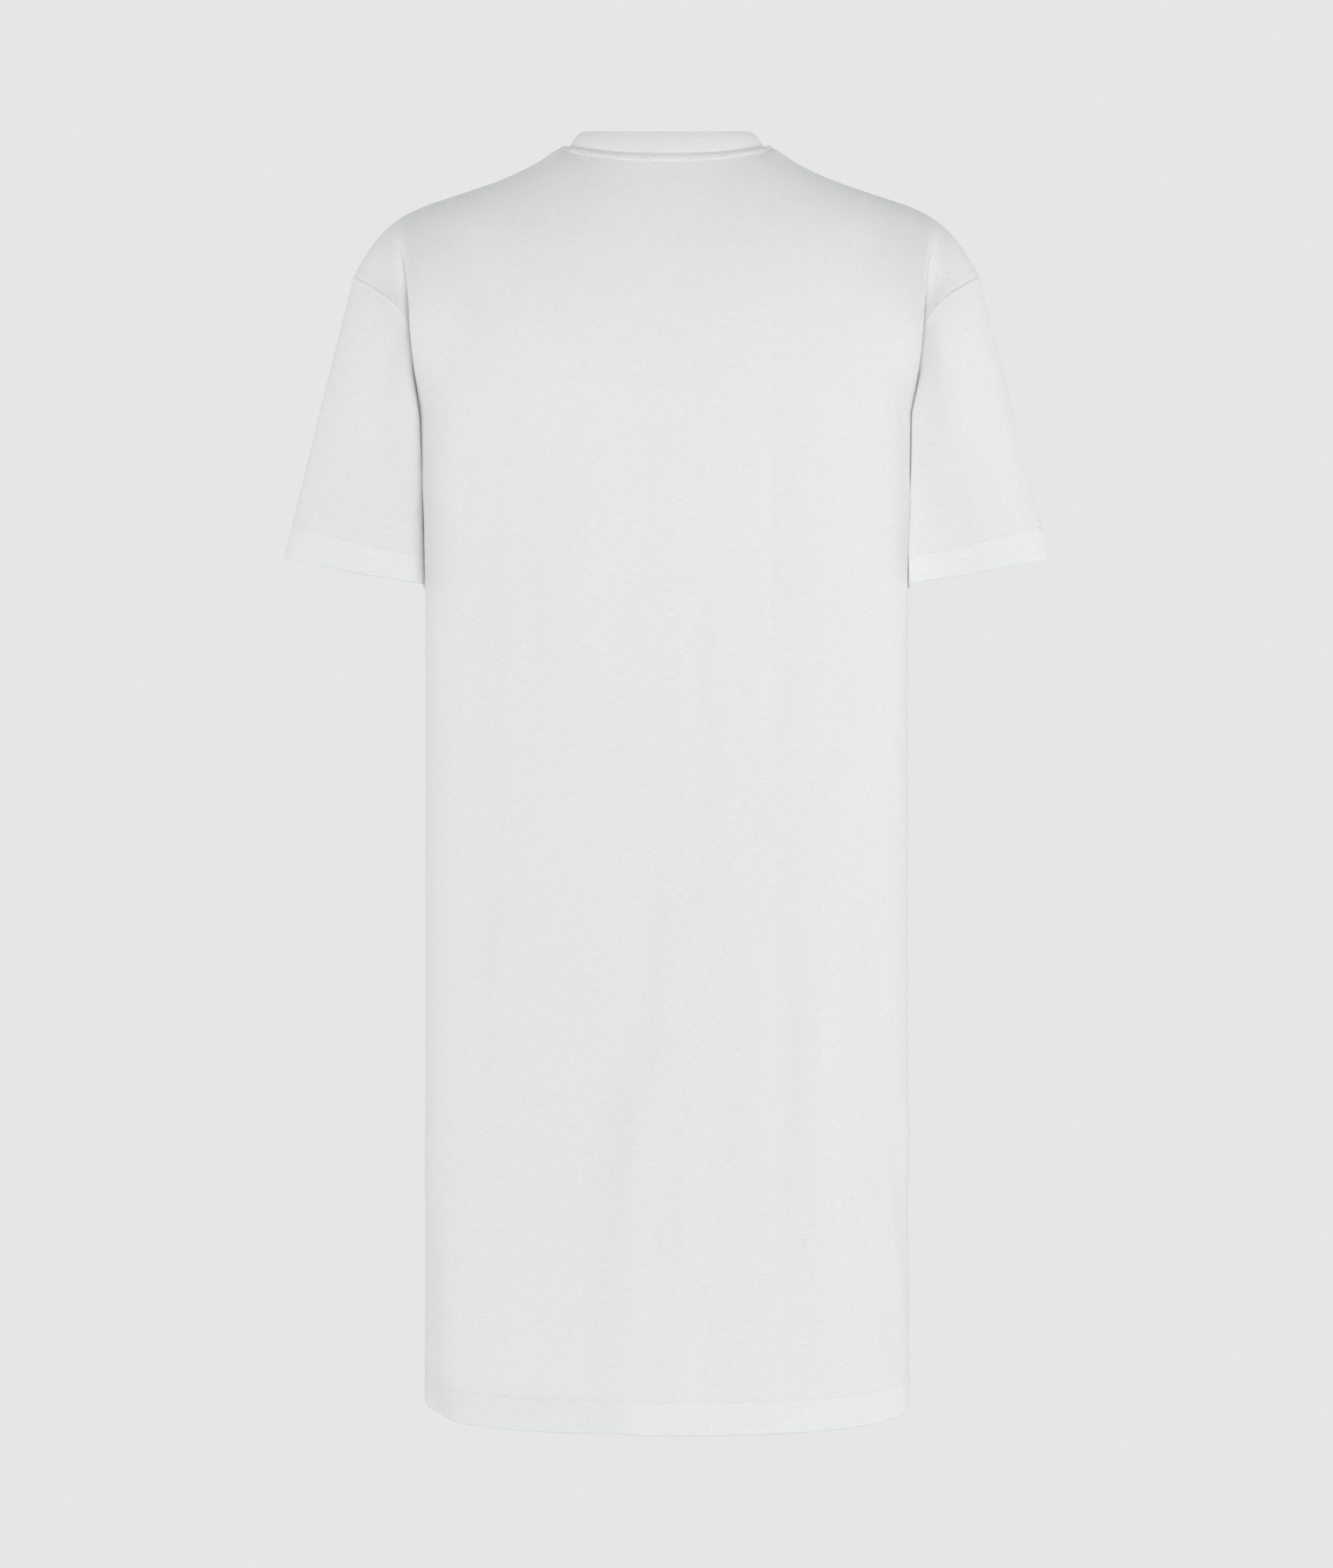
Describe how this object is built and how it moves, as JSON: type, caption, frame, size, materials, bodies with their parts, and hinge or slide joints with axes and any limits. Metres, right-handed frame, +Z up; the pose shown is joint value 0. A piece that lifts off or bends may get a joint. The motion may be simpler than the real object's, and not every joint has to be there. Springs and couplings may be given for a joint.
{
  "type": "t-shirt dress",
  "caption": "Plain worn jersey T-shirt dress, filled out and empty: crew neckband, dropped shoulders, short wide sleeves, straight body, open hem and cuffs.",
  "frame": {"origin": "on the centre plane at the height of the inner ends of the shoulder seams, 8 mm behind them, where the dress hangs from its wearer", "axes": "+Z up the wearer's back, the front faces -Y, +X is the wearer's left"},
  "size_m": [0.5872, 0.261, 0.9575],
  "materials": {
    "jersey": "soft matte white cotton jersey"
  },
  "bodies": {
    "root": {"back": "jersey", "front": "jersey", "sleeve_left": "jersey", "sleeve_right": "jersey", "neckband": "jersey"}
  },
  "joints": []
}
